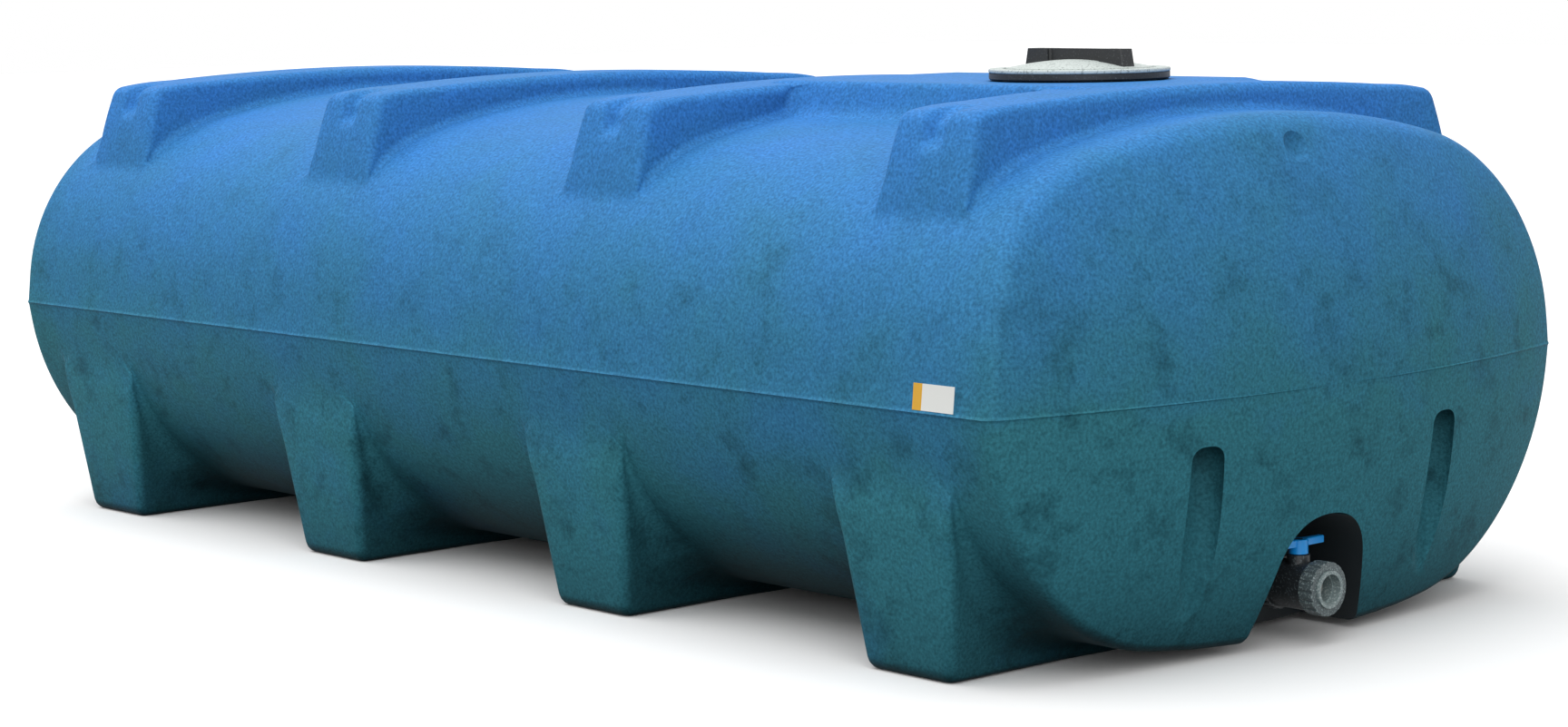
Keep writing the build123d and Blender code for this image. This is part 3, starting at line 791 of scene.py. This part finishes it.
finishes = {
    # Moulded polypropylene: satin and pale, with 5 mm grey flecks from years outside
    "pale_lid": plastic(
        "moulded_polypropylene_pale", "#BFC8C5", 0.5, 1.49, 0.2, 0.004, "#8A9390", 0.005, 0.6
    ),
    # The same with carbon black: dark satin, with 4 mm dusty flecks
    "black_plastic": plastic(
        "moulded_polypropylene_black", "#15181B", 0.5, 1.49, 0.2, 0.003, "#4A4F50", 0.004, 0.66
    ),
    # EPDM rubber: moulded, black and dull
    "seal_rubber": plastic("moulded_epdm_rubber", "#141516", 0.7, 1.50),
    # Moulded PVC: dark grey with a soft gloss, with 4 mm lime flecks
    "grey_valve_plastic": plastic(
        "moulded_pvc_dark", "#23282B", 0.42, 1.53, 0.15, 0.003, "#566063", 0.004, 0.62
    ),
    # Turned PTFE: white and waxy
    "white_seat_plastic": plastic("turned_ptfe", "#D8D8D2", 0.4, 1.35),
    # Moulded ABS: bright blue with a clear gloss
    "blue_handle_plastic": plastic("moulded_abs_blue", "#18A6FF", 0.35, 1.54),
}
for entry in frame["record"]["subparts"]:
    node = frame["nodes"][entry["node"]]
    if entry["material_slot"] in finishes:
        for spot in node.material_slots:
            spot.material = finishes[entry["material_slot"]]
# The outlet's ring and tail: the same PVC, rubbed paler where hoses have been screwed on
ringFinishes = {
    "outlet_union_nut": plastic(
        "moulded_pvc_rubbed", "#4A5659", 0.42, 1.53, 0.15, 0.003, "#8C9C9C", 0.004, 0.6
    ),
    "outlet_tail": plastic(
        "moulded_pvc_pale", "#7A898A", 0.42, 1.53, 0.15, 0.003, "#A9B6B5", 0.004, 0.58
    ),
}
for name, finish in ringFinishes.items():
    for spot in frame["nodes"][name].material_slots:
        spot.material = finish
lidBand.data.materials.append(finishes["black_plastic"])

shell.data.materials.clear()
shell.data.materials.append(mouldedBlue())
# Painted shade: the same polyethylene inside the niche, coloured near black for the shade there
shell.data.materials.append(plastic("rotomoulded_polyethylene_painted_niche_shade", "#0B161B", 0.6, 1.51, 0.12, 0.006))
nicheFaces = {"gap": 0.001, "lip": 0.02, "crown": 0.004, "floor": 0.01, "outward": 0.2, "downward": -0.9}
# Faces inside the niche take the painted shade material
for polygon in shell.data.polygons:
    x, y, z = polygon.center
    within = nicheBack - nicheFaces["gap"] < x < dome["reach"] - nicheFaces["lip"]
    under = abs(y) < niche["footHalf"] and z < niche["height"] + nicheFaces["crown"]
    if within and under:
        outward = polygon.normal.x > nicheFaces["outward"] and x > nicheBack + nicheFaces["floor"]
        wall = not outward and polygon.normal.z > nicheFaces["downward"]
        if wall or abs(x - nicheBack) < nicheFaces["gap"]:
            polygon.material_index = 1

# Printed vinyl: smooth white with a soft gloss, and a band of amber at one side
plateFinish = plastic("printed_vinyl", label["white"], 0.4, 1.53)
tree = plateFinish.node_tree
plateShader = next(n for n in tree.nodes if n.type == "BSDF_PRINCIPLED")
platePlace = put(tree, "ShaderNodeTexCoord").outputs["Object"]
across = put(tree, "ShaderNodeSeparateXYZ", {0: platePlace}).outputs[0]
bandEdge = label["middle"] - label["width"] * (0.5 - label["bandShare"])
amber = put(tree, "ShaderNodeMath", {0: across, 1: bandEdge}, operation="LESS_THAN")
striped = put(
    tree, "ShaderNodeMix",
    {0: amber.outputs[0], 6: hexColor(label["white"]), 7: hexColor(label["amber"])}, data_type="RGBA",
)
tree.links.new(striped.outputs[2], plateShader.inputs["Base Color"])
sidePlate.data.materials.append(plateFinish)
print("materials")


def plainlySeen(tree):
    # Rays that see the floor and sky as a pale background
    path = put(tree, "ShaderNodeLightPath").outputs
    straight = put(
        tree, "ShaderNodeMath", {0: path["Is Camera Ray"], 1: path["Is Glossy Ray"]}, operation="MAXIMUM"
    )
    either = put(
        tree, "ShaderNodeMath",
        {0: straight.outputs[0], 1: path["Is Transmission Ray"]}, operation="MAXIMUM",
    )
    return either.outputs[0]


# Pale floor that throws little light back under the belly
floorLook = {"size": 40.0, "seen": "#FFFFFF", "glow": "#4A5054"}
floorMesh = bmesh.new()
bmesh.ops.create_grid(floorMesh, x_segments=1, y_segments=1, size=floorLook["size"])
floor = meshObject("floor", floorMesh)
floorPaint = plastic("matt_floor_paint", floorLook["seen"], 0.9, 1.50)
tree = floorPaint.node_tree
floorShader = next(n for n in tree.nodes if n.type == "BSDF_PRINCIPLED")
shown = put(
    tree, "ShaderNodeMix",
    {0: plainlySeen(tree), 6: hexColor(floorLook["glow"]), 7: hexColor(floorLook["seen"])},
    data_type="RGBA",
)
tree.links.new(shown.outputs[2], floorShader.inputs["Base Color"])
floor.data.materials.append(floorPaint)

# White sky that lights the tank softly
daylight = {"color": "#FFFFFF", "light": 0.43}
world = bpy.data.worlds.new("sky")
bpy.context.scene.world = world
world.use_nodes = True
tree = world.node_tree
background = tree.nodes["Background"]
background.inputs["Color"].default_value = hexColor(daylight["color"])
background.inputs["Strength"].default_value = daylight["light"]
plain = put(tree, "ShaderNodeBackground", {"Color": hexColor(daylight["color"]), "Strength": 1.0})
sky = put(
    tree, "ShaderNodeMixShader", {0: plainlySeen(tree), 1: background.outputs[0], 2: plain.outputs[0]}
)
tree.links.new(sky.outputs[0], tree.nodes["World Output"].inputs[0])

# Two wide soft suns, one high and one low from the camera's side
suns = {
    "key": {"from": (-0.25, -0.22, 1.0), "angle": math.radians(80), "power": 2.3},
    "fill": {"from": (0.75, -0.62, 0.45), "angle": math.radians(60), "power": 1.3},
}
for name, sun in suns.items():
    lamp = bpy.data.lights.new(name, "SUN")
    lamp.angle = sun["angle"]
    lamp.energy = sun["power"]
    holder = bpy.data.objects.new(name, lamp)
    bpy.context.scene.collection.objects.link(holder)
    holder.rotation_euler = (-Vector(sun["from"])).to_track_quat("-Z", "Y").to_euler()

# Camera at the photograph's angle
view = {
    "place": (6.247, -5.350, 1.389),
    "back": (0.7419, -0.6605, 0.1153),
    "right": (0.66496, 0.74687, 0.0),
    "up": (-0.0861, 0.0766, 0.9933),
    "roll": math.radians(-0.8757),
    "lens": 77.66,
    "sensor": 36.0,
}
right, up = Vector(view["right"]), Vector(view["up"])
cameraX = right * math.cos(view["roll"]) + up * math.sin(view["roll"])
cameraY = up * math.cos(view["roll"]) - right * math.sin(view["roll"])
lens = bpy.data.cameras.new("photo_camera")
lens.lens = view["lens"]
lens.sensor_width = view["sensor"]
lens.sensor_fit = "HORIZONTAL"
camera = bpy.data.objects.new("photo_camera", lens)
bpy.context.scene.collection.objects.link(camera)
turned = Matrix((cameraX, cameraY, Vector(view["back"]))).transposed().to_4x4()
camera.matrix_world = Matrix.Translation(view["place"]) @ turned
bpy.context.scene.camera = camera
bpy.context.scene.view_settings.view_transform = "Standard"
print("stage")
